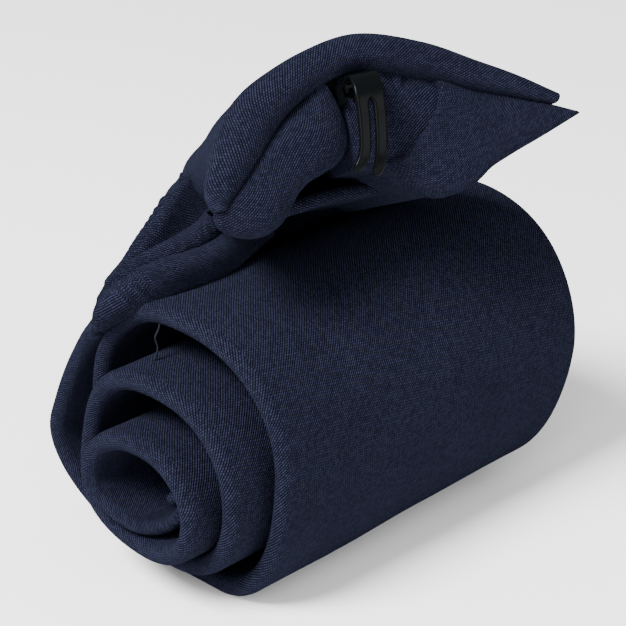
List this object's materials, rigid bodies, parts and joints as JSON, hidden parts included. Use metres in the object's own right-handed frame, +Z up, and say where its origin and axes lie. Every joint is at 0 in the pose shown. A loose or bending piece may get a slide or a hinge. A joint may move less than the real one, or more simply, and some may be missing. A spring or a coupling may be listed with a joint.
{
  "type": "necktie",
  "caption": "Rolled-up pre-tied necktie: a folded woven blade wound into a roll, with its padded knot on top and a sprung, pronged collar clip behind the knot.",
  "frame": {"origin": "centre of the roll's flat underside, where it rests on a table", "axes": "+Z up; +X along the roll's axis; the blade leaves the roll on the +Y side and climbs to the knot, whose wide end faces -Y"},
  "size_m": [0.083, 0.0581, 0.0841],
  "materials": {
    "woven_cloth": "fine diagonal weave, soft sheen",
    "lining_cloth": "smooth satin",
    "interlining": "brushed wool felt",
    "thread": "twisted thread",
    "label_cloth": "plain woven tape, blank",
    "former_plastic": "matt moulded plastic",
    "clip_black": "glossy black enamel",
    "steel": "plain steel"
  },
  "bodies": {
    "roll": {"blade_shell": "woven_cloth", "blade_interlining": "interlining", "tip_lining": "lining_cloth", "back_seam_stitch": "thread", "bar_tack": "thread", "care_label": "label_cloth"},
    "knot": {"neck_shell": "woven_cloth", "neck_interlining": "interlining", "knot_front_wrap": "woven_cloth", "knot_padding": "interlining", "knot_former": "former_plastic", "knot_left_shoulder": "woven_cloth", "knot_right_flap": "woven_cloth", "knot_inner_fold": "woven_cloth", "knot_back_wrap": "woven_cloth", "knot_tacks": "thread", "clip_plate": "clip_black", "clip_rivets": "steel", "clip_pin": "steel", "clip_spring": "steel"},
    "fork": {"clip_fork": "clip_black"}
  },
  "joints": [
    {"name": "knot_lift", "type": "hinge", "parent": "roll", "child": "knot", "pos_m": [0, 0.01928, 0.03823], "axis": [-1, 0, 0], "range_deg": [0, 50]},
    {"name": "fork_pivot", "type": "hinge", "parent": "knot", "child": "fork", "pos_m": [-0.00099, -0.00928, 0.07584], "axis": [-0.9516, 0.3055, -0.0332], "range_deg": [0, 11], "stiffness_Nm_per_rad": 0.0005, "springref_deg": -22.92}
  ]
}
